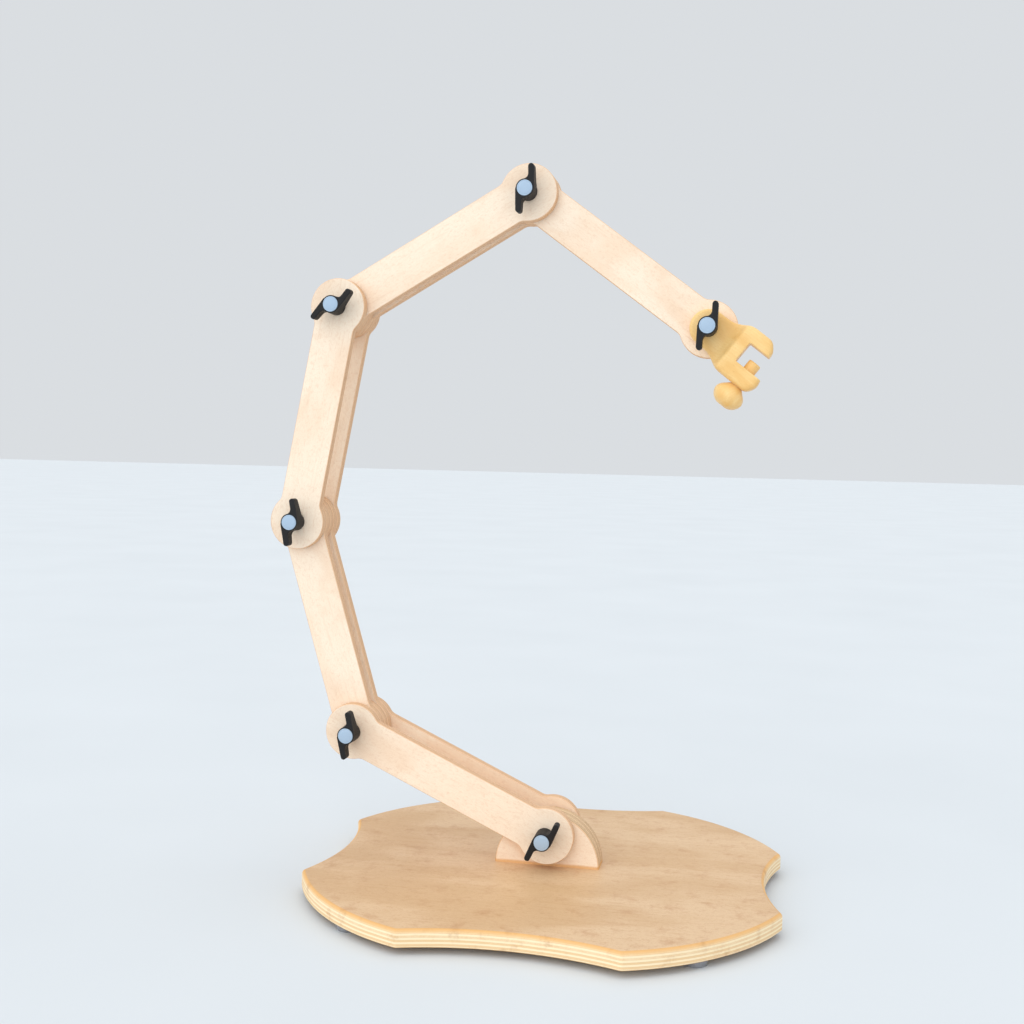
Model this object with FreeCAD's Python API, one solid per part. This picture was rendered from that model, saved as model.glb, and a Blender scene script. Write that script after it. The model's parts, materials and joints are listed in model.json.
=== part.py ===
import FreeCAD, Part
import math
import os

from FreeCAD import Placement, Rotation, Vector

# Articulated plywood stand that holds an embroidery hoop over a table.
#
# Frame, in millimetres: the origin is on the table top under the middle of the base board, +Z is up,
# X is the board's long axis and Y is the direction of all six hinge axes. The wing nuts face -Y.
# Arm angles are measured from +X towards +Z.

# Driving dimensions
HINGE_PITCH = 200.0         # between the two hinge axes of every arm
PLY = 9.0                   # thickness of every arm plate and of every layer of the pivot block
WASHER_GAP = 1.0            # thin washer between two plates
ARM_WIDTH = 37.5
ARM_END_R = 25.5
ARM_NECK_R = 10.0
ARRIS_R = 0.8               # sanded edge of the plates

BOARD_T = 15.0
FOOT_H = 6.0
FOOT_X, FOOT_Y = 141.0, 149.0
FOOT_TOP_R, FOOT_BOTTOM_R, FOOT_RIM_R = 11.0, 9.6, 1.0
FOOT_BORE_R, FOOT_RECESS_R, FOOT_RECESS_H = 1.8, 4.2, 3.2
FOOT_SCREW_R, FOOT_SCREW_L = 1.75, 12.0
FOOT_SCREW_HEAD_R, FOOT_SCREW_HEAD_H = 3.6, 2.2
BOARD_SIDE_X, BOARD_SIDE_Y = 208.7, 78.5      # the cusps beside the two short sides
BOARD_LONG_X, BOARD_LONG_Y = 88.3, 194.0      # the cusps beside the two long sides
BOARD_HOLLOW = 15.2         # depth of the concave sides
BOARD_BULGE = 17.7          # rise of the convex corners
BOARD_TOP_R = 4.0
BOARD_BOTTOM_R = 1.5
BOARD_CUSP_R = 5.0

BLOCK_R = 47.5
BLOCK_RIM_R = 1.6
BLOCK_SCREW_R, BLOCK_SCREW_L, BLOCK_SCREW_X = 2.5, 45.0, 24.0
BLOCK_SCREW_HEAD_R, BLOCK_SCREW_HEAD_H = 5.0, 3.0
SCREW_POINT_R = 0.3
HINGE_HEIGHT = 30.0         # first hinge axis above the board
ARM_ANGLES = (155.5, 106.5, 79.5, 30.5, -36.5)
CLAMP_ANGLE = -38.0

BOLT_R = 3.0                # M6
BORE_R = 3.08
BOLT_HEAD_R, BOLT_HEAD_H = 8.2, 3.6
SQUARE_NECK, SQUARE_NECK_L = 6.0, 4.4
SQUARE_HOLE, SQUARE_HOLE_L = 6.16, 4.6
BOLT_TIP_CHAMFER = 0.6
GAP_WASHER_R = 9.0
NUT_WASHER_R, NUT_WASHER_T = 6.2, 1.6

NUT_H = 18.4
NUT_BASE_R, NUT_TOP_R = 8.4, 7.9
NUT_TIP_RADIUS = 19.3       # from the bolt axis to the centre of a blade's round tip
BLADE_W, BLADE_OFFSET = 5.2, 5.8
BLADE_ROOT_Z, BLADE_TIP_Z = 3.0, 9.5
BLADE_WEB_R = 4.5           # hollow where a blade runs into the hub
INSERT_R, INSERT_L, INSERT_SETBACK = 4.5, 10.0, 0.15
NUT_BORE_R, NUT_BORE_L = 3.5, 14.5
CAP_R, CAP_T, CAP_PROUD, CAP_RIM_R = 6.9, 2.0, 0.5, 0.4

EAR_R, EAR_T = 16.5, 12.0
EAR_CORNER_R = 16.3         # a little under the ear's radius, so that its two arcs stay apart
JAW_T = 22.0
COVE_R = 10.0
COVE_START = 16.0           # along the clamp from its hinge
OPENING_FLOOR, OPENING_MOUTH = 37.0, 74.0     # the mouth is beyond the tips of both jaws
OPENING_TOP, OPENING_BOTTOM = 11.3, -7.8
OPENING_CORNER_R = 0.8
CLAMP_EDGE_R = 4.0
SCREW_U = 51.0              # screw axis, along the clamp from its hinge
SCREW_R, SCREW_BORE_R = 5.9, 5.98
PAD_TOP, PAD_BASE = 1.2, -7.6
PAD_EDGE_R = 1.5
PAD_SEAT_GAP = 0.2          # between the screw's shoulder and the pad
SPIGOT_R, SPIGOT_BORE_R = 2.5, 2.55
SPIGOT_L, SPIGOT_BORE_L = 3.0, 3.3
KNOB_NECK_V = -24.3
KNOB_PROFILE = ((6.4, KNOB_NECK_V), (8.6, -26.4), (12.2, -29.9), (13.9, -34.4), (12.4, -39.2),
                (8.6, -42.9), (5.0, -44.4))   # radius and height of the turned knob

# Layers across the arms
THIN_IN = PLY / 2 + WASHER_GAP                # inner face of the close pair, beside arm 5
THIN_OUT = THIN_IN + PLY
WIDE_IN = THIN_OUT + WASHER_GAP
WIDE_OUT = WIDE_IN + PLY
BOARD_TOP = FOOT_H + BOARD_T
BLOCK_HALF = 1.5 * PLY
SCREW_Y = -THIN_IN - JAW_T / 2

OVERSHOOT = 1.0             # how far a cutting solid runs past the faces it cuts
FLAT = 1e-6                 # an edge thinner than this along an axis lies in a plane across it

UP = Vector(0, 0, 1)
ALONG_Y = Vector(0, 1, 0)
TOWARDS_NUT = Vector(0, -1, 0)


def hinge_points():
    """The six hinge axes as (x, z), from the pivot block to the clamp."""
    points = [(0.0, BOARD_TOP + HINGE_HEIGHT)]
    for angle in ARM_ANGLES:
        x, z = points[-1]
        turn = math.radians(angle)
        points.append((x + HINGE_PITCH * math.cos(turn), z + HINGE_PITCH * math.sin(turn)))
    return points


# For each hinge: the outer face under the bolt's head, the outer face under the nut, the bolt's length
# and the angle of the wing nut's blades
HINGE_NAMES = ("base", "lower", "middle", "upper", "top", "clamp")
CLAMP_FRONT = -THIN_IN - EAR_T
HEAD_FACE = dict(zip(HINGE_NAMES, (WIDE_OUT, WIDE_OUT, WIDE_OUT, WIDE_OUT, THIN_OUT, PLY / 2)))
NUT_FACE = dict(zip(HINGE_NAMES, (-WIDE_OUT, -WIDE_OUT, -WIDE_OUT, -WIDE_OUT, -THIN_OUT, CLAMP_FRONT)))
BOLT_LENGTH = dict(zip(HINGE_NAMES, (60.0, 60.0, 60.0, 60.0, 40.0, 35.0)))
NUT_TURN = dict(zip(HINGE_NAMES, (49.5, 85.1, 82.7, 34.6, 73.9, 70.3)))
HINGE_AT = dict(zip(HINGE_NAMES, hinge_points()))


def on_hinge(shape, hinge, angle=0.0):
    """Turn a shape drawn about the Y axis by an angle, and carry it to a hinge."""
    x, z = HINGE_AT[hinge]
    placed = shape.copy()
    placed.Placement = Placement(Vector(x, 0, z), Rotation(TOWARDS_NUT, angle))
    return placed


def tube_y(outer, inner, y0, y1):
    """A ring about the Y axis from y0 to y1, or a disc where inner is zero."""
    ring = Part.makeCylinder(outer, y1 - y0, Vector(0, y0, 0), ALONG_Y)
    if inner:
        ring = ring.cut(Part.makeCylinder(inner, y1 - y0, Vector(0, y0, 0), ALONG_Y))
    return ring


def arc(start, middle, end):
    return Part.Arc(start, middle, end).toShape()


def line(start, end):
    return Part.LineSegment(start, end).toShape()


def polar(radius, degrees, centre=(0.0, 0.0)):
    turn = math.radians(degrees)
    return Vector(centre[0] + radius * math.cos(turn), 0, centre[1] + radius * math.sin(turn))


def plate_outline():
    """Dog-bone outline in the XZ plane, from a round end at the origin to one at the hinge pitch."""
    half = ARM_WIDTH / 2
    reach = ARM_END_R + ARM_NECK_R
    neck_x = math.sqrt(reach ** 2 - (half + ARM_NECK_R) ** 2)
    neck_angle = math.degrees(math.atan2(half + ARM_NECK_R, neck_x))
    mid_angle = (neck_angle + 90.0) / 2
    near, far = (0.0, 0.0), (HINGE_PITCH, 0.0)
    edges = []
    for side in (1, -1):
        centre_near = (neck_x, side * (half + ARM_NECK_R))
        centre_far = (HINGE_PITCH - neck_x, side * (half + ARM_NECK_R))
        on_end = polar(ARM_END_R, side * neck_angle, near)
        on_bar = Vector(neck_x, 0, side * half)
        edges.append(arc(on_end, polar(ARM_NECK_R, -side * (180 - mid_angle), centre_near), on_bar))
        bar_end = Vector(HINGE_PITCH - neck_x, 0, side * half)
        edges.append(line(on_bar, bar_end))
        far_end = polar(ARM_END_R, side * (180 - neck_angle), far)
        edges.append(arc(bar_end, polar(ARM_NECK_R, -side * mid_angle, centre_far), far_end))
    edges.append(arc(polar(ARM_END_R, neck_angle), Vector(-ARM_END_R, 0, 0), polar(ARM_END_R, -neck_angle)))
    far_top = polar(ARM_END_R, 180 - neck_angle, far)
    far_bottom = polar(ARM_END_R, neck_angle - 180, far)
    edges.append(arc(far_top, Vector(HINGE_PITCH + ARM_END_R, 0, 0), far_bottom))
    return Part.Wire(Part.__sortEdges__(edges))


def arm_plate(y0, square_holes=()):
    """One arm plate from y0 to y0 + PLY, bored at both ends; square_holes lists ends with a bolt's neck."""
    plate = Part.Face(plate_outline()).extrude(Vector(0, PLY, 0))
    rims = [e for e in plate.Edges if e.BoundBox.YLength < FLAT]
    plate = plate.makeFillet(ARRIS_R, rims)
    plate.translate(Vector(0, y0, 0))
    for x in (0.0, HINGE_PITCH):
        bore = tube_y(BORE_R, 0, y0 - OVERSHOOT, y0 + PLY + OVERSHOOT)
        bore.translate(Vector(x, 0, 0))
        plate = plate.cut(bore)
        if x in square_holes:
            corner = Vector(x - SQUARE_HOLE / 2, y0 + PLY - SQUARE_HOLE_L, -SQUARE_HOLE / 2)
            plate = plate.cut(Part.makeBox(SQUARE_HOLE, SQUARE_HOLE_L + OVERSHOOT, SQUARE_HOLE, corner))
    return plate


def spacer_disc():
    """Plate offcut that keeps a close pair apart at a hinge."""
    disc = tube_y(ARM_END_R, 0, -PLY / 2, PLY / 2)
    disc = disc.makeFillet(ARRIS_R, [e for e in disc.Edges if e.BoundBox.YLength < FLAT])
    return disc.cut(tube_y(BORE_R, 0, -PLY, PLY))


def board_outline(z):
    """Closed outline of the base board: four concave sides and four convex corners."""
    side_x, side_y, long_x, long_y = BOARD_SIDE_X, BOARD_SIDE_Y, BOARD_LONG_X, BOARD_LONG_Y
    chord = math.hypot(side_x - long_x, long_y - side_y)
    out_x = (long_y - side_y) / chord
    out_y = (side_x - long_x) / chord
    corner_x = (side_x + long_x) / 2 + BOARD_BULGE * out_x
    corner_y = (side_y + long_y) / 2 + BOARD_BULGE * out_y
    edges = []
    for sx, sy in ((1, 1), (-1, 1), (-1, -1), (1, -1)):
        beside_short = Vector(sx * side_x, sy * side_y, z)
        beside_long = Vector(sx * long_x, sy * long_y, z)
        edges.append(arc(beside_short, Vector(sx * corner_x, sy * corner_y, z), beside_long))
    for s in (1, -1):
        hollow_x = Vector(s * (side_x - BOARD_HOLLOW), 0, z)
        edges.append(arc(Vector(s * side_x, -side_y, z), hollow_x, Vector(s * side_x, side_y, z)))
        hollow_y = Vector(0, s * (long_y - BOARD_HOLLOW), z)
        edges.append(arc(Vector(-long_x, s * long_y, z), hollow_y, Vector(long_x, s * long_y, z)))
    return Part.Wire(Part.__sortEdges__(edges))


def foot_points():
    return {
        "foot_front_left": (-FOOT_X, -FOOT_Y),
        "foot_front_right": (FOOT_X, -FOOT_Y),
        "foot_back_left": (-FOOT_X, FOOT_Y),
        "foot_back_right": (FOOT_X, FOOT_Y),
    }


def countersunk_screw(radius, length, head_r, head_h):
    """Wood screw standing on its flat head at the origin, point upwards."""
    cone = Part.makeCone(head_r, radius, head_h)
    shank = Part.makeCylinder(radius, length - head_h - 2 * radius, Vector(0, 0, head_h))
    point = Part.makeCone(radius, SCREW_POINT_R, 2 * radius, Vector(0, 0, length - 2 * radius))
    return cone.fuse([shank, point]).removeSplitter()


def block_screws():
    screws = []
    for x in (-BLOCK_SCREW_X, BLOCK_SCREW_X):
        screw = countersunk_screw(BLOCK_SCREW_R, BLOCK_SCREW_L, BLOCK_SCREW_HEAD_R, BLOCK_SCREW_HEAD_H)
        screw.translate(Vector(x, 0, FOOT_H))
        screws.append(screw)
    return screws


def foot_screws():
    screws = []
    for x, y in foot_points().values():
        head = Part.makeCylinder(FOOT_SCREW_HEAD_R, FOOT_SCREW_HEAD_H)
        shank = Part.makeCylinder(FOOT_SCREW_R, FOOT_SCREW_L, Vector(0, 0, FOOT_SCREW_HEAD_H))
        screw = head.fuse(shank).removeSplitter()
        screw.translate(Vector(x, y, FOOT_RECESS_H - FOOT_SCREW_HEAD_H))
        screws.append(screw)
    return screws


def bumper_foot(x, y):
    """Clear dome foot with a recess for its screw."""
    foot = Part.makeCone(FOOT_BOTTOM_R, FOOT_TOP_R, FOOT_H)
    foot = foot.makeFillet(FOOT_RIM_R, [e for e in foot.Edges if e.BoundBox.ZMax < FLAT])
    foot = foot.cut(Part.makeCylinder(FOOT_BORE_R, FOOT_H))
    foot = foot.cut(Part.makeCylinder(FOOT_RECESS_R, FOOT_RECESS_H))
    foot.translate(Vector(x, y, 0))
    return foot


def base_board():
    board = Part.Face(board_outline(FOOT_H)).extrude(Vector(0, 0, BOARD_T))
    cusps = [e for e in board.Edges if e.BoundBox.ZLength > BOARD_T - FLAT]
    board = board.makeFillet(BOARD_CUSP_R, cusps)
    board = board.makeFillet(BOARD_TOP_R, [e for e in board.Edges if e.BoundBox.ZMin > BOARD_TOP - FLAT])
    board = board.makeFillet(BOARD_BOTTOM_R, [e for e in board.Edges if e.BoundBox.ZMax < FOOT_H + FLAT])
    holes = block_screws() + foot_screws()
    return board.cut(Part.makeCompound(holes))


def pivot_layer(index):
    """One of the three glued layers of the half-round block; the middle one takes the screws."""
    y0 = -BLOCK_HALF + index * PLY
    left, right = Vector(-BLOCK_R, y0, BOARD_TOP), Vector(BLOCK_R, y0, BOARD_TOP)
    outline = Part.Wire([arc(left, Vector(0, y0, BOARD_TOP + BLOCK_R), right), line(right, left)])
    layer = Part.Face(outline).extrude(Vector(0, PLY, 0))
    outer_y = {0: y0, 2: y0 + PLY}.get(index)
    if outer_y is not None:
        rim = [e for e in layer.Edges
               if abs(e.BoundBox.YMin - outer_y) < FLAT and e.BoundBox.YLength < FLAT
               and e.BoundBox.ZLength > FLAT]
        layer = layer.makeFillet(BLOCK_RIM_R, rim)
    layer = layer.cut(on_hinge(tube_y(BORE_R, 0, -WIDE_OUT, WIDE_OUT), "base"))
    if index == 1:
        layer = layer.cut(Part.makeCompound(block_screws()))
    return layer


def carriage_bolt(hinge):
    """Domed head and square neck at the back, round shank towards the nut."""
    y = HEAD_FACE[hinge]
    dome_r = (BOLT_HEAD_R ** 2 + BOLT_HEAD_H ** 2) / (2 * BOLT_HEAD_H)
    dome = Part.makeSphere(dome_r, Vector(0, y + BOLT_HEAD_H - dome_r, 0))
    dome = dome.common(tube_y(BOLT_HEAD_R + OVERSHOOT, 0, y, y + BOLT_HEAD_H + OVERSHOOT))
    half = SQUARE_NECK / 2
    neck = Part.makeBox(SQUARE_NECK, SQUARE_NECK_L, SQUARE_NECK, Vector(-half, y - SQUARE_NECK_L, -half))
    end_y = y - BOLT_LENGTH[hinge]
    shank = tube_y(BOLT_R, 0, end_y, y)
    tip = [e for e in shank.Edges if e.BoundBox.YMax < end_y + FLAT]
    shank = shank.makeChamfer(BOLT_TIP_CHAMFER, tip)
    return dome.fuse([neck, shank]).removeSplitter()


def gap_washers(hinge):
    """The thin washers between the plates of a hinge, as (y0, y1) slots along its bolt."""
    slots = {
        "base": [(BLOCK_HALF, WIDE_IN), (-WIDE_IN, -BLOCK_HALF)],
        "top": [(PLY / 2, THIN_IN), (-THIN_IN, -PLY / 2)],
        "clamp": [(-THIN_IN, -PLY / 2)],
    }
    nested = [(PLY / 2, THIN_IN), (THIN_OUT, WIDE_IN), (-THIN_IN, -PLY / 2), (-WIDE_IN, -THIN_OUT)]
    return [tube_y(GAP_WASHER_R, BORE_R, y0, y1) for y0, y1 in slots.get(hinge, nested)]


def along_nut(shape, hinge, turn=0.0):
    """Carry a shape built upwards from z = 0 onto the bolt, standing on the flat washer."""
    x, z = HINGE_AT[hinge]
    lie_down = Rotation(Vector(1, 0, 0), 90).multiply(Rotation(UP, turn))
    placed = shape.copy()
    placed.Placement = Placement(Vector(x, NUT_FACE[hinge] - NUT_WASHER_T, z), lie_down)
    return placed


def nut_washer(hinge):
    y = NUT_FACE[hinge]
    return tube_y(NUT_WASHER_R, BORE_R, y - NUT_WASHER_T, y)


def nut_blade():
    """One blade, tangent to the hub, with a hollow web at its root and a lower edge rising to the tip."""
    tip_x = math.sqrt(NUT_TIP_RADIUS ** 2 - BLADE_OFFSET ** 2)
    half = BLADE_W / 2
    inner_y, outer_y = -BLADE_OFFSET + half, -BLADE_OFFSET - half
    bar = Part.makeBox(tip_x, BLADE_W, NUT_H, Vector(0, outer_y, 0))
    tip = Part.makeCylinder(half, NUT_H, Vector(tip_x, -BLADE_OFFSET, 0))

    # The web's hollow is tangent to the blade's inner side and to the hub at its top
    reach = NUT_TOP_R + BLADE_WEB_R
    web_y = inner_y + BLADE_WEB_R
    web_x = math.sqrt(reach ** 2 - web_y ** 2)
    on_blade = Vector(web_x, inner_y, 0)
    on_hub = Vector(web_x, web_y, 0) * (NUT_TOP_R / reach)
    towards = ((on_blade + on_hub) / 2 - Vector(web_x, web_y, 0)).normalize()
    hollow = Vector(web_x, web_y, 0) + towards * BLADE_WEB_R
    root = Vector(0, inner_y, 0)
    outline = [arc(on_blade, hollow, on_hub), line(on_hub, root), line(root, on_blade)]
    web = Part.Face(Part.Wire(outline)).extrude(Vector(0, 0, NUT_H))
    blade = bar.fuse([tip, web]).removeSplitter()

    near_x, far_x = -OVERSHOOT, tip_x + half + OVERSHOOT
    y0, y1 = outer_y - OVERSHOOT, on_hub.y + OVERSHOOT
    under = Part.makePolygon([
        Vector(near_x, y0, -OVERSHOOT),
        Vector(far_x, y0, -OVERSHOOT),
        Vector(far_x, y0, BLADE_TIP_Z),
        Vector(near_x, y0, BLADE_ROOT_Z),
        Vector(near_x, y0, -OVERSHOOT),
    ])
    return blade.cut(Part.Face(under).extrude(Vector(0, y1 - y0, 0)))


def wing_nut():
    hub = Part.makeCone(NUT_BASE_R, NUT_TOP_R, NUT_H)
    first = nut_blade()
    second = first.copy()
    second.rotate(Vector(0, 0, 0), UP, 180)
    nut = hub.fuse([first, second]).removeSplitter()
    nut = nut.cut(Part.makeCylinder(INSERT_R, INSERT_L))
    nut = nut.cut(Part.makeCylinder(NUT_BORE_R, NUT_BORE_L))
    return nut.cut(Part.makeCylinder(CAP_R, CAP_T, Vector(0, 0, NUT_H - CAP_T)))


def nut_insert():
    """Threaded sleeve pressed a little below the nut's lower face, so that only the nut bears."""
    base = Vector(0, 0, INSERT_SETBACK)
    sleeve = Part.makeCylinder(INSERT_R, INSERT_L - INSERT_SETBACK, base)
    return sleeve.cut(Part.makeCylinder(BORE_R, INSERT_L))


def nut_cap():
    cap = Part.makeCylinder(CAP_R, CAP_T + CAP_PROUD, Vector(0, 0, NUT_H - CAP_T))
    return cap.makeFillet(CAP_RIM_R, [e for e in cap.Edges if e.BoundBox.ZMin > NUT_H + CAP_PROUD - FLAT])


def rounded_outline(corners):
    """Closed outline in the XZ plane from (x, z, corner radius), with an arc tangent at every corner."""
    count = len(corners)
    starts, arcs, ends = [], [], []
    for i, (x, z, radius) in enumerate(corners):
        corner = Vector(x, 0, z)
        before = Vector(corners[i - 1][0], 0, corners[i - 1][1]) - corner
        after = Vector(corners[(i + 1) % count][0], 0, corners[(i + 1) % count][1]) - corner
        before.normalize()
        after.normalize()
        half = before.getAngle(after) / 2
        bisector = (before + after).normalize()
        start = corner + before * (radius / math.tan(half))
        end = corner + after * (radius / math.tan(half))
        middle = corner + bisector * (radius / math.sin(half) - radius)
        starts.append(start)
        ends.append(end)
        arcs.append(arc(start, middle, end))
    edges = []
    for i in range(count):
        edges += [arcs[i], line(ends[i], starts[(i + 1) % count])]
    return Part.Wire(edges)


def clamp_outline():
    """Side outline of the clamp blank: round ear, neck, upper jaw and thicker, longer lower jaw."""
    return rounded_outline([
        (-EAR_R, EAR_R, EAR_CORNER_R),
        (14.5, EAR_R, 22.0),
        (29.5, 24.4, 14.0),
        (51.5, 24.4, 8.0),
        (57.4, 17.0, 5.0),
        (58.0, 3.0, 6.0),
        (63.2, -4.5, 6.0),
        (65.2, -14.6, 7.0),
        (60.4, -23.8, 7.0),
        (27.0, -23.8, 14.0),
        (13.0, -EAR_R, 20.0),
        (-EAR_R, -EAR_R, EAR_CORNER_R),
    ])


def jaw_opening(front, back):
    """The space sawn out between the jaws, open at their tips and crisp along its edges."""
    outline = rounded_outline([
        (OPENING_FLOOR, OPENING_TOP, OPENING_CORNER_R),
        (OPENING_FLOOR, OPENING_BOTTOM, OPENING_CORNER_R),
        (OPENING_MOUTH, OPENING_BOTTOM, OPENING_CORNER_R),
        (OPENING_MOUTH, OPENING_TOP, OPENING_CORNER_R),
    ])
    cutter = Part.Face(outline).extrude(Vector(0, back - front + 2 * OVERSHOOT, 0))
    cutter.translate(Vector(0, front - OVERSHOOT, 0))
    return cutter


def clamp_body():
    """Drawn about its hinge with the jaws along +X; the back is flat against the washer on arm 5."""
    back = -THIN_IN
    front = back - JAW_T
    body = Part.Face(clamp_outline()).extrude(Vector(0, -JAW_T, 0))
    body.translate(Vector(0, back, 0))
    rims = [e for e in body.Edges if e.BoundBox.YLength < FLAT]
    body = body.makeFillet(CLAMP_EDGE_R, rims)
    wide = 2 * HINGE_PITCH
    ear_cut = Part.makeBox(wide + COVE_START, JAW_T, wide, Vector(-wide, CLAMP_FRONT - JAW_T, -wide / 2))
    cove = Part.makeCylinder(COVE_R, wide, Vector(COVE_START, CLAMP_FRONT - COVE_R, -wide / 2), UP)
    body = body.cut(ear_cut).cut(cove).cut(jaw_opening(front, back))
    body = body.cut(tube_y(BORE_R, 0, front - OVERSHOOT, back + OVERSHOOT))
    bore_length = 2 * EAR_R
    bore_start = Vector(SCREW_U, SCREW_Y, -bore_length)
    return body.cut(Part.makeCylinder(SCREW_BORE_R, bore_length, bore_start, UP))


def turned(points):
    """Solid of revolution about the screw axis from (radius, height) points joined smoothly."""
    knots = [Vector(r, 0, v) for r, v in points]
    curve = Part.BSplineCurve()
    curve.interpolate(knots)
    axis_start, axis_end = Vector(0, 0, points[0][1]), Vector(0, 0, points[-1][1])
    edges = [line(axis_start, knots[0]), curve.toShape()]
    edges += [line(knots[-1], axis_end), line(axis_end, axis_start)]
    solid = Part.Face(Part.Wire(edges)).revolve(Vector(0, 0, 0), UP, 360)
    solid.translate(Vector(SCREW_U, SCREW_Y, 0))
    return solid


def clamp_screw():
    """Turned wooden screw: knob below the lower jaw, shank through it, spigot inside the pad."""
    knob = turned(KNOB_PROFILE)
    base = Vector(SCREW_U, SCREW_Y, KNOB_NECK_V)
    shank = Part.makeCylinder(SCREW_R, PAD_BASE - PAD_SEAT_GAP - KNOB_NECK_V, base, UP)
    spigot = Part.makeCylinder(SPIGOT_R, PAD_BASE + SPIGOT_L - KNOB_NECK_V, base, UP)
    return knob.fuse([shank, spigot]).removeSplitter()


def clamp_pad():
    base = Vector(SCREW_U, SCREW_Y, PAD_BASE)
    pad = Part.makeCylinder(SCREW_R, PAD_TOP - PAD_BASE, base, UP)
    pad = pad.makeFillet(PAD_EDGE_R, [e for e in pad.Edges if e.BoundBox.ZMin > PAD_TOP - FLAT])
    return pad.cut(Part.makeCylinder(SPIGOT_BORE_R, SPIGOT_BORE_L, base, UP))


def neck_angle(hinge):
    """The square neck lies square to the arm whose plate holds it."""
    owner = {"base": 0, "lower": 0, "middle": 2, "upper": 2, "top": 3, "clamp": 4}[hinge]
    return ARM_ANGLES[owner]


def nodes():
    """Every piece of the stand as node name to list of solids."""
    out = {
        "base_board": [base_board()],
        "foot_screws": foot_screws(),
        "block_screws": block_screws(),
        "pivot_layer_front": [pivot_layer(0)],
        "pivot_layer_middle": [pivot_layer(1)],
        "pivot_layer_back": [pivot_layer(2)],
    }
    for name, (x, y) in foot_points().items():
        out[name] = [bumper_foot(x, y)]

    both_ends = (0.0, HINGE_PITCH)
    pairs = (
        ("arm_1", "base", WIDE_IN, both_ends),
        ("arm_2", "lower", THIN_IN, ()),
        ("arm_3", "middle", WIDE_IN, both_ends),
        ("arm_4", "upper", THIN_IN, (HINGE_PITCH,)),
    )
    angle_of = dict(zip(HINGE_NAMES, ARM_ANGLES))
    for arm, hinge, inner, square_holes in pairs:
        angle = angle_of[hinge]
        out[arm + "_front_plate"] = [on_hinge(arm_plate(-inner - PLY), hinge, angle)]
        out[arm + "_back_plate"] = [on_hinge(arm_plate(inner, square_holes), hinge, angle)]
    out["arm_5_plate"] = [on_hinge(arm_plate(-PLY / 2, (HINGE_PITCH,)), "top", angle_of["top"])]
    out["arm_2_spacers"] = [on_hinge(spacer_disc(), "lower"), on_hinge(spacer_disc(), "middle")]
    out["arm_4_spacer"] = [on_hinge(spacer_disc(), "upper")]

    for hinge in HINGE_NAMES:
        turn = NUT_TURN[hinge] + math.degrees(math.asin(BLADE_OFFSET / NUT_TIP_RADIUS))
        out[hinge + "_hinge_bolt"] = [on_hinge(carriage_bolt(hinge), hinge, neck_angle(hinge))]
        out[hinge + "_hinge_gap_washers"] = [on_hinge(w, hinge) for w in gap_washers(hinge)]
        out[hinge + "_hinge_nut_washer"] = [on_hinge(nut_washer(hinge), hinge)]
        out[hinge + "_wing_nut"] = [along_nut(wing_nut(), hinge, turn)]
        out[hinge + "_nut_insert"] = [along_nut(nut_insert(), hinge)]
        out[hinge + "_nut_cap"] = [along_nut(nut_cap(), hinge)]

    out["clamp_body"] = [on_hinge(clamp_body(), "clamp", CLAMP_ANGLE)]
    out["clamp_screw"] = [on_hinge(clamp_screw(), "clamp", CLAMP_ANGLE)]
    out["clamp_pad"] = [on_hinge(clamp_pad(), "clamp", CLAMP_ANGLE)]
    return out


def main():
    os.makedirs("parts", exist_ok=True)
    for name, solids in nodes().items():
        shape = solids[0] if len(solids) == 1 else Part.makeCompound(solids)
        if not shape.isValid():
            print("not valid:", name)
        shape.exportStep("parts/" + name + ".step")


main()
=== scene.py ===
import json
import math

import bpy
from mathutils import Matrix, Vector


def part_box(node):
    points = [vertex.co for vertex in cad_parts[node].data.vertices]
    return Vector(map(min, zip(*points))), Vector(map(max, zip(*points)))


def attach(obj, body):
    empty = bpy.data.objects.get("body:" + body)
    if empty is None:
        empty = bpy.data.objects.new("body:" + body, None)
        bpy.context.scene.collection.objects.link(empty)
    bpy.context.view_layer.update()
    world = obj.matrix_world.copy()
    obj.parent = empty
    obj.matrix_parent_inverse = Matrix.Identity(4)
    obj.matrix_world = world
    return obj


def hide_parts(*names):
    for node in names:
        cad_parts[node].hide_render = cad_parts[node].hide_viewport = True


# Looks of an articulated plywood hoop stand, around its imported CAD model. Lengths are in metres.

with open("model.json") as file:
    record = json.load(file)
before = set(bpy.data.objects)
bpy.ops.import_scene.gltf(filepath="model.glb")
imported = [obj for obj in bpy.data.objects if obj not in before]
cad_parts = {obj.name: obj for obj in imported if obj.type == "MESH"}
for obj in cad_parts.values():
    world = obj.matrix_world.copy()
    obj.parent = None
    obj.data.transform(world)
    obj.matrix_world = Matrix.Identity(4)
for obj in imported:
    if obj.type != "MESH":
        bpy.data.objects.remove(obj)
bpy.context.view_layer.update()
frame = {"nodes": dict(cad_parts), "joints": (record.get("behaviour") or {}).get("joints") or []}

MM = 0.001
HINGES = ("base", "lower", "middle", "upper", "top", "clamp")
ARM_NODES = {
    "arm_1": ("arm_1_front_plate", "arm_1_back_plate"),
    "arm_2": ("arm_2_front_plate", "arm_2_back_plate"),
    "arm_3": ("arm_3_front_plate", "arm_3_back_plate"),
    "arm_4": ("arm_4_front_plate", "arm_4_back_plate"),
    "arm_5": ("arm_5_plate",),
}
PIVOT_LAYERS = ("pivot_layer_front", "pivot_layer_middle", "pivot_layer_back")
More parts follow.
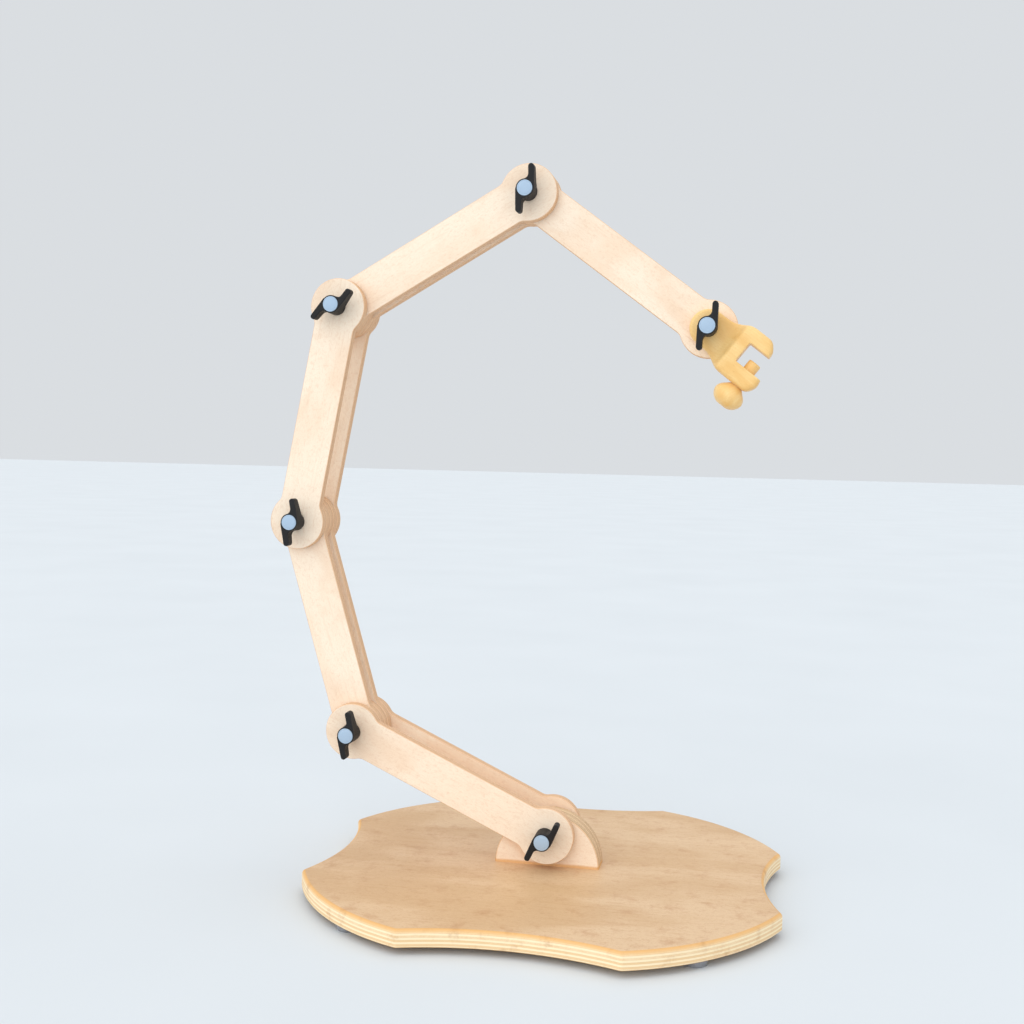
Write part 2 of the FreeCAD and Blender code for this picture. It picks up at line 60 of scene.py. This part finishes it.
# The jaw opening, measured from the clamp's hinge
JAW_FLOOR, JAW_LOW, JAW_HIGH = 37.0 * MM, -7.8 * MM, 11.3 * MM
JAW_MARGIN = 1.5 * MM       # band beside the opening whose corners stay crisp
JAW_ROOT = 3.0 * MM         # how far behind the opening's floor the jaws begin
JAW_SANDING = 0.35          # how much the jaws' outsides are rounded, where the neck and ear take 1
CLAMP_VOXEL, CLAMP_ROUNDS, CLAMP_KEEP = 0.6 * MM, 150, 0.6
NUT_VOXEL, NUT_ROUNDS, NUT_KEEP = 0.34 * MM, 12, 0.4
CAP_RIM, CAP_GROOVE, CAP_SEGMENTS = 0.45 * MM, 1.25 * MM, 48
CAP_RIM_STEPS, CAP_CROWN_STEPS = 5, 8
CAP_CLEAR = 0.02 * MM       # between the cap's wall and its seat
CAP_LEAD, CAP_LEAD_DEPTH = 0.1 * MM, 0.15 * MM      # bevel where the cap is pushed in
BORE_CLEAR = 6.25 * MM      # radius kept free about the clamp screw
BORE_REACH = 7.0 * MM       # what is nearer to the screw's axis than this belongs to its bore
ARM_PLIES, BOARD_PLIES = 7, 9
PIVOT_SEED, BOARD_SEED = 20, 31     # the arms' plates and spacers count up from 1
FLOOR_SIZE = 40.0
FEET = ("foot_front_left", "foot_front_right", "foot_back_left", "foot_back_right")


# ---------------------------------------------------------------- places taken from the frame

def joint_place(name):
    """A joint's point and axis in the row frame."""
    joint = next(j for j in frame["joints"] if j["name"] == name)
    return Vector(joint["pos_m"]), Vector(joint["axis"]).normalized()


HINGE_AT = {hinge: joint_place(hinge + "_hinge")[0] for hinge in HINGES}


def arm_angle(start, end):
    """Angle of an arm in the XZ plane, from +X towards +Z, between two hinges."""
    run = HINGE_AT[end] - HINGE_AT[start]
    return math.atan2(run.z, run.x)


# ---------------------------------------------------------------- node graphs

class Graph:
    """A material's node graph, built by short calls; a value is a number, a tuple or a socket."""

    def __init__(self, name):
        self.material = bpy.data.materials.new(name)
        self.material.use_nodes = True
        self.nodes = self.material.node_tree.nodes
        self.links = self.material.node_tree.links
        self.shader = self.nodes["Principled BSDF"]

    def feed(self, socket, value):
        if isinstance(value, bpy.types.NodeSocket):
            self.links.new(value, socket)
        elif isinstance(value, (tuple, list)) and len(value) == 3 and socket.type == "RGBA":
            socket.default_value = (*value, 1.0)
        else:
            socket.default_value = value

    def object_coordinates(self):
        return self.nodes.new("ShaderNodeTexCoord").outputs["Object"]

    def object_normal(self):
        return self.nodes.new("ShaderNodeTexCoord").outputs["Normal"]

    def placed(self, origin, angle):
        """Object coordinates about an origin, turned so that X runs at an angle in the XZ plane."""
        node = self.nodes.new("ShaderNodeMapping")
        node.vector_type = "TEXTURE"
        node.inputs["Location"].default_value = origin
        node.inputs["Rotation"].default_value = (0, -angle, 0)
        self.links.new(self.object_coordinates(), node.inputs["Vector"])
        return node.outputs["Vector"]

    def stretched(self, vector, scale):
        node = self.nodes.new("ShaderNodeMapping")
        node.inputs["Scale"].default_value = scale
        self.links.new(vector, node.inputs["Vector"])
        return node.outputs["Vector"]

    def split(self, vector):
        node = self.nodes.new("ShaderNodeSeparateXYZ")
        self.links.new(vector, node.inputs[0])
        return node.outputs

    def math(self, operation, *values):
        node = self.nodes.new("ShaderNodeMath")
        node.operation = operation
        for socket, value in zip(node.inputs, values):
            self.feed(socket, value)
        return node.outputs[0]

    def between(self, value, low, high, to_low=0.0, to_high=1.0):
        """A smooth step of value from low to high."""
        node = self.nodes.new("ShaderNodeMapRange")
        node.interpolation_type = "SMOOTHSTEP"
        for name, number in (("Value", value), ("From Min", low), ("From Max", high),
                             ("To Min", to_low), ("To Max", to_high)):
            self.feed(node.inputs[name], number)
        return node.outputs["Result"]

    def noise(self, vector, scale, detail=3.0, roughness=0.55, distortion=0.0):
        node = self.nodes.new("ShaderNodeTexNoise")
        self.links.new(vector, node.inputs["Vector"])
        node.inputs["Scale"].default_value = scale
        node.inputs["Detail"].default_value = detail
        node.inputs["Roughness"].default_value = roughness
        node.inputs["Distortion"].default_value = distortion
        return node.outputs["Fac"]

    def random(self, value):
        """One even random number for each whole number."""
        node = self.nodes.new("ShaderNodeTexWhiteNoise")
        node.noise_dimensions = "1D"
        self.feed(node.inputs["W"], value)
        return node.outputs["Value"]

    def blend(self, factor, first, second):
        """Two numbers mixed."""
        node = self.nodes.new("ShaderNodeMix")
        self.feed(node.inputs["Factor"], factor)
        self.feed(node.inputs[2], first)
        self.feed(node.inputs[3], second)
        return node.outputs[0]

    def mix(self, factor, first, second):
        """Two colours mixed; they have their own sockets, after those for numbers and vectors."""
        node = self.nodes.new("ShaderNodeMix")
        node.data_type = "RGBA"
        self.feed(node.inputs["Factor"], factor)
        self.feed(node.inputs[6], first)
        self.feed(node.inputs[7], second)
        return node.outputs[2]

    def bump(self, height, distance, strength):
        node = self.nodes.new("ShaderNodeBump")
        node.inputs["Strength"].default_value = strength
        node.inputs["Distance"].default_value = distance
        self.links.new(height, node.inputs["Height"])
        return node.outputs["Normal"]

    def set(self, **values):
        for name, value in values.items():
            self.feed(self.shader.inputs[name.replace("_", " ")], value)
        return self.material


def colour(red, green, blue):
    """A colour given as it looks on screen, as the linear numbers that a shader takes."""
    screen = (channel / 255 for channel in (red, green, blue))
    return tuple(((c + 0.055) / 1.055) ** 2.4 if c > 0.04045 else c / 12.92 for c in screen)


# ---------------------------------------------------------------- wood

FACE_PALE, FACE_WARM, FACE_FLECK = colour(253, 235, 213), colour(247, 222, 196), colour(224, 186, 152)
EDGE_LONG, EDGE_END, EDGE_GLUE = colour(246, 210, 170), colour(206, 156, 116), colour(142, 92, 60)
BOARD_PALE, BOARD_WARM, BOARD_STAIN = colour(226, 193, 153), colour(213, 176, 132), colour(186, 132, 86)
BOARD_EDGE_LONG, BOARD_EDGE_END = colour(255, 234, 196), colour(240, 205, 156)
CLAMP_PALE, CLAMP_WARM, CLAMP_FLECK = colour(248, 210, 142), colour(239, 190, 114), colour(210, 152, 82)
# Darker tones painted as shade: along the plywood's rounded arrises, and along the pivot block's foot where
# it meets the board
RIM_SHADE_TONE, BOARD_SHADE_TONE = colour(206, 146, 100), colour(226, 168, 92)


def veneer(graph, place, pale, warm, fleck, seed, mottle=28.0):
    """Rotary-cut birch veneer: soft cloudy figure, long streaks and short fine pores along X."""
    shifted = graph.nodes.new("ShaderNodeVectorMath")
    graph.links.new(place, shifted.inputs[0])
    shifted.inputs[1].default_value = (0.37 * seed, 0.11 * seed, 0.53 * seed)
    along = shifted.outputs[0]
    cloud = graph.noise(graph.stretched(along, (0.45, 1, 1)), mottle, 3.0, 0.5, 0.6)
    streak = graph.noise(graph.stretched(along, (0.06, 1, 1)), 420.0, 4.0, 0.6)
    speckle = graph.noise(graph.stretched(along, (0.60, 1, 1)), 520.0, 3.0, 0.6)
    pore = graph.noise(graph.stretched(along, (0.07, 1, 1)), 2600.0, 1.0, 0.4)
    tone = graph.mix(graph.between(cloud, 0.38, 0.66), pale, warm)
    tone = graph.mix(graph.between(streak, 0.52, 0.80, 0.0, 0.30), tone, fleck)
    tone = graph.mix(graph.between(speckle, 0.50, 0.72, 0.0, 0.30), tone, fleck)
    tone = graph.mix(graph.between(pore, 0.60, 0.70, 0.0, 0.20), tone, fleck)
    dust = graph.noise(along, 1300.0, 2.0, 0.6)
    tone = graph.mix(graph.between(dust, 0.48, 0.70, 0.0, 0.24), tone, fleck)
    return tone, pore, streak


def plies(graph, through, thickness, count, long_tone, end_tone, glue_strength, along, seed):
    """Edge of plywood: plies with the grain along and across by turns, and thin dark glue lines."""
    warp = graph.noise(along, 38.0, 2.0, 0.5)
    wander = graph.math("MULTIPLY_ADD", warp, 0.34, -0.17)
    layer = graph.math("ADD", graph.math("MULTIPLY", through, count / thickness), wander)
    index = graph.math("FLOOR", layer)
    inside = graph.math("FRACT", layer)
    across = graph.math("MODULO", graph.math("ABSOLUTE", index), 2.0)
    odd = graph.math("MULTIPLY_ADD", graph.random(graph.math("ADD", index, 7.0 * seed)), 0.56, 0.0)
    fibre = graph.noise(graph.stretched(along, (0.6, 1, 0.6)), 1500.0, 2.0, 0.6)
    blotch = graph.noise(along, 90.0, 3.0, 0.6)
    shade = graph.math("ADD", across, graph.math("SUBTRACT", odd, 0.28))
    shade = graph.math("MULTIPLY_ADD", graph.math("SUBTRACT", fibre, 0.5), 0.7, shade)
    shade = graph.math("MULTIPLY_ADD", graph.math("SUBTRACT", blotch, 0.5), 0.9, shade)
    tone = graph.mix(graph.between(shade, 0.0, 1.1), long_tone, end_tone)
    near_glue = graph.math("MINIMUM", inside, graph.math("SUBTRACT", 1.0, inside))
    glue = graph.between(near_glue, 0.03, 0.14, glue_strength, 0.0)
    return graph.mix(glue, tone, EDGE_GLUE), glue, fibre


def plywood(name, origin, angle, low, thickness, count, tones, seed, normal_axis="y", gloss=0.46,
            mottle=28.0, rim_shade_tone=RIM_SHADE_TONE, rim_shade_strength=0.35, stain=0.16, foot_of=None):
    """Plywood with its faces square to Y or Z: veneer on the faces, plies on the edges and painted shade
    along the rounded arrises.

    foot_of is the height where the piece meets another, with warm shade painted along the joint."""
    pale, warm, fleck, long_tone, end_tone, glue_strength = tones
    graph = Graph(name)
    place = graph.placed(origin, angle)
    through_index = {"y": 1, "z": 2}[normal_axis]
    through = graph.math("SUBTRACT", graph.split(graph.object_coordinates())[through_index], low)
    face_tone, pore, streak = veneer(graph, place, pale, warm, fleck, seed, mottle)
    edge_tone, glue, fibre = plies(graph, through, thickness, count, long_tone, end_tone, glue_strength,
                                   place, seed)
    facing = graph.math("ABSOLUTE", graph.split(graph.object_normal())[through_index])
    is_face = graph.between(facing, 0.80, 0.95)
    tone = graph.mix(is_face, edge_tone, face_tone)
    # Painted shade: the rounded arris between face and edge is mixed towards a darker tone
    outside = graph.between(facing, 0.30, 0.75)
    rim = graph.math("MULTIPLY", outside, graph.between(facing, 0.90, 0.995, 1.0, 0.0))
    tone = graph.mix(graph.math("MULTIPLY", rim, rim_shade_strength), tone, rim_shade_tone)
    grime = graph.noise(place, 60.0, 4.0, 0.65)
    tone = graph.mix(graph.between(grime, 0.50, 0.80, 0.0, stain), tone, fleck)
    # Painted shade: a darker golden band just above the joint, warmed by light bounced off the board
    if foot_of is not None:
        height = graph.split(graph.object_coordinates())[2]
        ragged = graph.math("MULTIPLY_ADD", grime, 1.6 * MM, height)
        foot_shade = graph.between(ragged, foot_of + 2.2 * MM, foot_of + 4.6 * MM, 0.75, 0.0)
        tone = graph.mix(foot_shade, tone, BOARD_SHADE_TONE)
    rough = graph.math("MULTIPLY_ADD", streak, 0.18, gloss)
    edge_rough = graph.math("MULTIPLY_ADD", fibre, 0.15, 0.62)
    roughness = graph.blend(is_face, edge_rough, rough)
    face_height = graph.math("MULTIPLY", graph.math("MULTIPLY", pore, is_face), -0.6)
    edge_height = graph.math("MULTIPLY", graph.math("ADD", glue, fibre), graph.math("SUBTRACT", 1.0, is_face))
    height = graph.math("SUBTRACT", face_height, graph.math("MULTIPLY", edge_height, 0.8))
    normal = graph.bump(height, 0.00012, 0.7)
    return graph.set(Base_Color=tone, Roughness=roughness, Normal=normal, Specular_IOR_Level=0.35)


def hardwood(name, origin, angle, seed, gloss=0.38):
    """Varnished straight-grained beech: growth bands, ray flecks, a thin satin coat and painted shade in its
    hollows.
    """
    graph = Graph(name)
    place = graph.placed(origin, angle)
    wobble = graph.noise(graph.stretched(place, (0.2, 1, 1)), 55.0, 2.0, 0.5)
    parts = graph.split(place)
    lateral = graph.math("ADD", parts[2], graph.math("MULTIPLY", parts[1], 0.55))
    lateral = graph.math("MULTIPLY_ADD", wobble, 0.006, lateral)
    ring = graph.math("SINE", graph.math("MULTIPLY", lateral, 2400.0))
    ring = graph.math("MULTIPLY_ADD", ring, 0.5, 0.5)
    cloud = graph.noise(graph.stretched(place, (0.4, 1, 1)), 70.0, 3.0, 0.5, 0.4)
    fleck = graph.noise(graph.stretched(place, (0.10, 1, 1)), 2100.0 + 40 * seed, 2.0, 0.5)
    tone = graph.mix(graph.between(cloud, 0.35, 0.68), CLAMP_PALE, CLAMP_WARM)
    tone = graph.mix(graph.math("MULTIPLY", ring, 0.22), tone, CLAMP_WARM)
    tone = graph.mix(graph.between(fleck, 0.58, 0.72, 0.0, 0.40), tone, CLAMP_FLECK)
    # Painted shade: concave places such as the cove are mixed towards the darker fleck colour
    curvature_shading = graph.nodes.new("ShaderNodeNewGeometry").outputs["Pointiness"]
    tone = graph.mix(graph.between(curvature_shading, 0.49, 0.40, 0.0, 0.10), tone, CLAMP_FLECK)
    rough = graph.math("MULTIPLY_ADD", fleck, 0.16, gloss)
    normal = graph.bump(graph.math("MULTIPLY", fleck, -1.0), 0.00008, 0.5)
    return graph.set(Base_Color=tone, Roughness=rough, Normal=normal, Coat_Weight=0.18, Coat_Roughness=0.30,
                     Specular_IOR_Level=0.4)


# ---------------------------------------------------------------- plastics and metals

def moulded_plastic(name, dark, light, rough, grain, coat):
    """Injection-moulded plastic with a fine spark-eroded grain, and a highlight painted along its convex
    edges.
    """
    graph = Graph(name)
    place = graph.object_coordinates()
    fine = graph.noise(place, grain, 2.0, 0.6)
    smear = graph.noise(place, 120.0, 3.0, 0.6)
    curvature_shading = graph.nodes.new("ShaderNodeNewGeometry").outputs["Pointiness"]
    # Painted highlight: convex edges are mixed towards the lighter colour
    tone = graph.mix(graph.between(curvature_shading, 0.505, 0.56, 0.0, 0.55), dark, light)
    tone = graph.mix(graph.between(smear, 0.50, 0.80, 0.0, 0.30), tone, light)
    roughness = graph.math("MULTIPLY_ADD", smear, 0.18, rough)
    normal = graph.bump(fine, 0.00006, 0.6)
    return graph.set(Base_Color=tone, Roughness=roughness, Normal=normal, Coat_Weight=coat,
                     Coat_Roughness=0.25, Specular_IOR_Level=0.35)


def metal(name, base, tint, rough, brush_axis):
    """Plated or turned metal, with fine lines round an axis and a few dull patches."""
    graph = Graph(name)
    place = graph.object_coordinates()
    scale = tuple(0.08 if axis == brush_axis else 1.0 for axis in "xyz")
    lines = graph.noise(graph.stretched(place, scale), 3800.0, 2.0, 0.5)
    patch = graph.noise(place, 260.0, 3.0, 0.6)
    tone = graph.mix(graph.between(patch, 0.42, 0.75, 0.0, 0.6), base, tint)
    dull = graph.math("MULTIPLY_ADD", patch, 0.12, rough)
    roughness = graph.math("MULTIPLY_ADD", lines, 0.18, dull)
    normal = graph.bump(lines, 0.00003, 0.5)
    return graph.set(Base_Color=tone, Roughness=roughness, Normal=normal, Metallic=1.0)


def clear_rubber(name):
    """Smoky clear soft plastic, with a slight haze."""
    graph = Graph(name)
    place = graph.object_coordinates()
    haze = graph.noise(place, 300.0, 3.0, 0.6)
    tone = graph.mix(haze, colour(176, 178, 186), colour(214, 216, 222))
    roughness = graph.math("MULTIPLY_ADD", haze, 0.20, 0.10)
    normal = graph.bump(haze, 0.00010, 0.4)
    return graph.set(Base_Color=tone, Roughness=roughness, Normal=normal, Transmission_Weight=0.55, IOR=1.45)


def dress(node, material):
    """Give a carried-over CAD node its material."""
    piece = frame["nodes"][node]
    if not piece.material_slots:
        piece.data.materials.append(material)
    for material_slot in piece.material_slots:
        material_slot.material = material


# ---------------------------------------------------------------- mesh work

def copy_of(node, name):
    """A new piece that starts from a CAD node's surface."""
    piece = bpy.data.objects.new(name, frame["nodes"][node].data.copy())
    bpy.context.scene.collection.objects.link(piece)
    piece.data.materials.clear()
    return piece


def add_modifier(piece, kind, **settings):
    modifier = piece.modifiers.new(kind.title(), kind)
    for name, value in settings.items():
        setattr(modifier, name, value)
    return modifier


def apply_modifiers(piece):
    """Keep the shape that the modifiers make as the piece's own mesh."""
    evaluated = piece.evaluated_get(bpy.context.evaluated_depsgraph_get())
    mesh = bpy.data.meshes.new_from_object(evaluated)
    piece.modifiers.clear()
    piece.data = mesh
    mesh.name = piece.name
    for polygon in mesh.polygons:
        polygon.use_smooth = True


def softened(node, name, voxel, rounds, keep):
    """A CAD node's surface remeshed evenly and smoothed, so that its corners flow as moulded or sanded."""
    piece = copy_of(node, name)
    add_modifier(piece, "REMESH", mode="VOXEL", voxel_size=voxel, use_smooth_shade=True)
    add_modifier(piece, "SMOOTH", factor=0.5, iterations=rounds)
    add_modifier(piece, "DECIMATE", ratio=keep)
    apply_modifiers(piece)
    return piece


def open_bore(piece, point, axis, low):
    """Push what is left of a bore's wall out to its clear radius, below the height low along its axis."""
    for vertex in piece.data.vertices:
        offset = vertex.co - point
        height = offset.dot(axis)
        out = offset - height * axis
        if out.length < BORE_REACH and height < low:
            vertex.co += out.normalized() * max(0.0, BORE_CLEAR - out.length)


def sanded_clamp(name, along, screw_at, screw_axis):
    """The clamp body with its outer corners sanded round and the corners inside its jaws left crisp."""
    piece = copy_of("clamp_body", name)
    add_modifier(piece, "REMESH", mode="VOXEL", voxel_size=CLAMP_VOXEL, use_smooth_shade=True)
    apply_modifiers(piece)
    sanded = piece.vertex_groups.new(name="sanded")
    hinge = HINGE_AT["clamp"]
    for vertex in piece.data.vertices:
        reach = (vertex.co - hinge).dot(along)
        height = (vertex.co - hinge).dot(screw_axis)
        beside_jaws = JAW_LOW - JAW_MARGIN < height < JAW_HIGH + JAW_MARGIN
        if reach > JAW_FLOOR - JAW_MARGIN and beside_jaws:
            sanding = 0.0
        elif reach > JAW_FLOOR - JAW_ROOT:
            sanding = JAW_SANDING
        else:
            sanding = 1.0
        sanded.add([vertex.index], sanding, "REPLACE")
    add_modifier(piece, "SMOOTH", factor=0.5, iterations=CLAMP_ROUNDS, vertex_group=sanded.name)
    add_modifier(piece, "DECIMATE", ratio=CLAMP_KEEP)
    apply_modifiers(piece)
    open_bore(piece, screw_at, screw_axis, JAW_LOW + JAW_MARGIN + (hinge - screw_at).dot(screw_axis))
    return piece


def lathe(name, profile, segments):
    """A turned surface about +Z from (radius, height) points."""
    vertices, faces = [], []
    for radius, height in profile:
        for step in range(segments):
            turn = 2 * math.pi * step / segments
            vertices.append((radius * math.cos(turn), radius * math.sin(turn), height))
    for ring in range(len(profile) - 1):
        for step in range(segments):
            after = (step + 1) % segments
            low, high = ring * segments, (ring + 1) * segments
            faces.append((low + step, low + after, high + after, high + step))
    faces.append(tuple(reversed(range(segments))))
    faces.append(tuple(range((len(profile) - 1) * segments, len(profile) * segments)))
    mesh = bpy.data.meshes.new(name)
    mesh.from_pydata(vertices, [], faces)
    mesh.validate()
    for polygon in mesh.polygons:
        polygon.use_smooth = len(polygon.vertices) == 4
    piece = bpy.data.objects.new(name, mesh)
    bpy.context.scene.collection.objects.link(piece)
    return piece


def stand_on(piece, point, direction):
    """Move a piece built upwards from the origin to a point, with its +Z along a direction."""
    turn = Vector((0, 0, 1)).rotation_difference(direction).to_matrix().to_4x4()
    piece.data.transform(Matrix.Translation(point) @ turn)


def finish_piece(piece, material, body, slot, *nodes):
    piece.data.materials.append(material)
    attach(piece, body)
    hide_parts(*nodes)


# ---------------------------------------------------------------- pieces

def dress_arms():
    """Birch ply for the arms' plates and spacers, each from its own part of the sheet."""
    tones = (FACE_PALE, FACE_WARM, FACE_FLECK, EDGE_LONG, EDGE_END, 0.46)
    ends = list(zip(HINGES[:-1], HINGES[1:]))
    seed = 1
    for (arm, plates), (start, end) in zip(ARM_NODES.items(), ends):
        for plate in plates:
            low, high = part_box(plate)
            angle = arm_angle(start, end)
            birch = plywood(plate + "_birch", HINGE_AT[start], angle, low.y, high.y - low.y, ARM_PLIES,
                            tones, seed)
            dress(plate, birch)
            seed += 1
    for node, start in (("arm_2_spacers", "lower"), ("arm_4_spacer", "upper")):
        low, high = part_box(node)
        birch = plywood(node + "_birch", HINGE_AT[start], 0.4, low.y, high.y - low.y, ARM_PLIES, tones, seed)
        dress(node, birch)
        seed += 1


def dress_stand():
    """Board, pivot block, screws and feet; returns the steel, which the hinges share."""
    tones = (FACE_PALE, FACE_WARM, FACE_FLECK, colour(240, 210, 168), colour(190, 150, 112), 0.55)
    for seed, node in enumerate(PIVOT_LAYERS, PIVOT_SEED):
        low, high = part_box(node)
        birch = plywood(node + "_birch", HINGE_AT["base"], 0.0, low.y, high.y - low.y, ARM_PLIES, tones, seed,
                        foot_of=low.z)
        dress(node, birch)
    low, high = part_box("base_board")
    tones = (BOARD_PALE, BOARD_WARM, BOARD_STAIN, BOARD_EDGE_LONG, BOARD_EDGE_END, 0.13)
    birch = plywood("base_board_birch", Vector((0, 0, 0)), 0.0, low.z, high.z - low.z, BOARD_PLIES, tones,
                    BOARD_SEED, normal_axis="z", gloss=0.34, mottle=16.0, rim_shade_tone=BOARD_SHADE_TONE,
                    rim_shade_strength=0.80, stain=0.55)
    dress("base_board", birch)
    steel = metal("zinc_plated_steel", colour(200, 203, 208), colour(150, 152, 158), 0.24, "y")
    for node in ("foot_screws", "block_screws"):
        dress(node, steel)
    rubber = clear_rubber("smoky_clear_rubber")
    for node in FEET:
        dress(node, rubber)
    return steel


def dress_hinges(steel):
    """The six hinges' bolts, washers and inserts, and a moulded nut and cap in place of the CAD ones."""
    black = moulded_plastic("black_moulded_plastic", colour(15, 15, 18), colour(46, 48, 53),
                            0.50, 2600.0, 0.0)
    pale = moulded_plastic("pale_cap_plastic", colour(166, 189, 212), colour(190, 211, 230),
                           0.30, 1800.0, 0.15)
    nylon = moulded_plastic("nylon_washer_plastic", colour(214, 208, 196), colour(232, 228, 220),
                            0.45, 2000.0, 0.0)
    brass = metal("turned_brass", colour(206, 172, 104), colour(168, 132, 74), 0.26, "y")
    for hinge in HINGES:
        dress(hinge + "_hinge_bolt", steel)
        dress(hinge + "_hinge_nut_washer", steel)
        dress(hinge + "_hinge_gap_washers", nylon)
        dress(hinge + "_nut_insert", brass)
        nut = softened(hinge + "_wing_nut", hinge + "_moulded_wing_nut", NUT_VOXEL, NUT_ROUNDS, NUT_KEEP)
        finish_piece(nut, black, hinge + "_wing_nut", "black_plastic", hinge + "_wing_nut")
        cap = crowned_cap(hinge)
        finish_piece(cap, pale, hinge + "_wing_nut", "pale_cap", hinge + "_nut_cap")


def crowned_cap(hinge):
    """Push-in cap with a slightly crowned top, a rounded rim and a fine moulded line inside the rim."""
    low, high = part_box(hinge + "_nut_cap")
    radius, depth = (high.x - low.x) / 2, high.y - low.y
    centre = Vector(((low.x + high.x) / 2, high.y, (low.z + high.z) / 2))
    rim = CAP_RIM
    wall = radius - CAP_CLEAR
    profile = [(radius - CAP_LEAD, 0.0), (wall, CAP_LEAD_DEPTH), (wall, depth - 2 * rim)]
    for step in range(1, CAP_RIM_STEPS + 1):
        turn = math.radians(90 * step / CAP_RIM_STEPS)
        profile.append((radius - rim * (1 - math.cos(turn)), depth - 2 * rim + rim * math.sin(turn)))
    inner = radius - CAP_GROOVE
    profile.append((inner + 0.35 * MM, depth - 1.02 * rim))
    profile.append((inner + 0.12 * MM, depth - 1.35 * rim))
    profile.append((inner, depth - rim))
    for step in range(1, CAP_CROWN_STEPS):
        share = 1 - step / CAP_CROWN_STEPS
        profile.append((inner * share, depth - rim * share ** 2))
    cap = lathe(hinge + "_crowned_cap", profile, CAP_SEGMENTS)
    stand_on(cap, centre, Vector((0, -1, 0)))
    return cap


def dress_clamp():
    """A sanded clamp body, with the grain along it, and its turned screw and pad."""
    screw_at, screw_axis = joint_place("clamp_screw_turn")
    along = Vector((0, 1, 0)).cross(screw_axis)
    grain_angle = math.atan2(along.z, along.x)
    body_wood = hardwood("clamp_beech", HINGE_AT["clamp"], grain_angle, 3)
    knob_wood = hardwood("knob_beech", screw_at, grain_angle + math.pi / 2, 8, gloss=0.32)
    body = sanded_clamp("sanded_clamp_body", along, screw_at, screw_axis)
    finish_piece(body, body_wood, "clamp", "clamp_hardwood", "clamp_body")
    dress("clamp_screw", knob_wood)
    dress("clamp_pad", knob_wood)


# ---------------------------------------------------------------- floor, light and camera

def pale_floor():
    mesh = bpy.data.meshes.new("floor")
    half = FLOOR_SIZE / 2
    corners = [(-half, -half, 0), (half, -half, 0), (half, half, 0), (-half, half, 0)]
    mesh.from_pydata(corners, [], [(0, 1, 2, 3)])
    floor = bpy.data.objects.new("floor", mesh)
    bpy.context.scene.collection.objects.link(floor)
    graph = Graph("pale_floor")
    cloud = graph.noise(graph.object_coordinates(), 3.0, 2.0, 0.5)
    tone = graph.mix(cloud, colour(214, 219, 223), colour(221, 226, 230))
    floor.data.materials.append(graph.set(Base_Color=tone, Roughness=0.95, Specular_IOR_Level=0.08))


ROOM_COLOUR, ROOM_STRENGTH = (0.78, 0.81, 0.84, 1.0), 0.90


def broad_light(name, towards, spread, strength, tint):
    """An even soft light from far away, so that the floor is as bright near as far."""
    data = bpy.data.lights.new(name, "SUN")
    data.angle = math.radians(spread)
    data.energy = strength
    data.color = tint
    light = bpy.data.objects.new(name, data)
    light.rotation_euler = Vector(towards).to_track_quat("-Z", "Y").to_euler()
    bpy.context.scene.collection.objects.link(light)


def studio_light():
    """A broad warm key from the front left, a top light, a cool fill from the right and a pale room."""
    broad_light("key_light", towards=(0.55, 0.98, -0.66), spread=80.0, strength=1.42,
                tint=(1.0, 0.985, 0.955))
    broad_light("top_light", towards=(-0.10, -0.25, -1.0), spread=70.0, strength=0.55,
                tint=(1.0, 1.0, 1.0))
    broad_light("fill_light", towards=(-2.2, 2.0, -0.7), spread=60.0, strength=0.30,
                tint=(0.95, 0.98, 1.0))
    world = bpy.data.worlds.new("pale_room")
    world.use_nodes = True
    background = world.node_tree.nodes["Background"]
    background.inputs["Color"].default_value = ROOM_COLOUR
    background.inputs["Strength"].default_value = ROOM_STRENGTH
    bpy.context.scene.world = world
    bpy.context.scene.view_settings.view_transform = "Standard"
    bpy.context.scene.view_settings.look = "None"


CAMERA_PLACE = Vector((0.1842, -1.1240, 0.3968))
CAMERA_YAW, CAMERA_PITCH, CAMERA_ROLL = 11.36, 2.866, 1.26      # degrees: left, down, clockwise
CAMERA_LENS = 44.4


def camera():
    """A nearly level camera, a little to the right of the stand's front."""
    yaw, pitch, roll = (math.radians(a) for a in (CAMERA_YAW, CAMERA_PITCH, CAMERA_ROLL))
    level_forward = Vector((-math.sin(yaw), math.cos(yaw), 0))
    forward = math.cos(pitch) * level_forward - math.sin(pitch) * Vector((0, 0, 1))
    level_right = Vector((math.cos(yaw), math.sin(yaw), 0))
    level_up = level_right.cross(forward)
    right = math.cos(roll) * level_right + math.sin(roll) * level_up
    up = -math.sin(roll) * level_right + math.cos(roll) * level_up
    data = bpy.data.cameras.new("camera")
    data.sensor_width = 36.0
    data.lens = CAMERA_LENS
    viewer = bpy.data.objects.new("camera", data)
    turn = Matrix((right, up, -forward)).transposed()
    viewer.matrix_world = Matrix.Translation(CAMERA_PLACE) @ turn.to_4x4()
    bpy.context.scene.collection.objects.link(viewer)
    bpy.context.scene.camera = viewer


camera()
dress_arms()
zinc = dress_stand()
dress_hinges(zinc)
dress_clamp()
pale_floor()
studio_light()
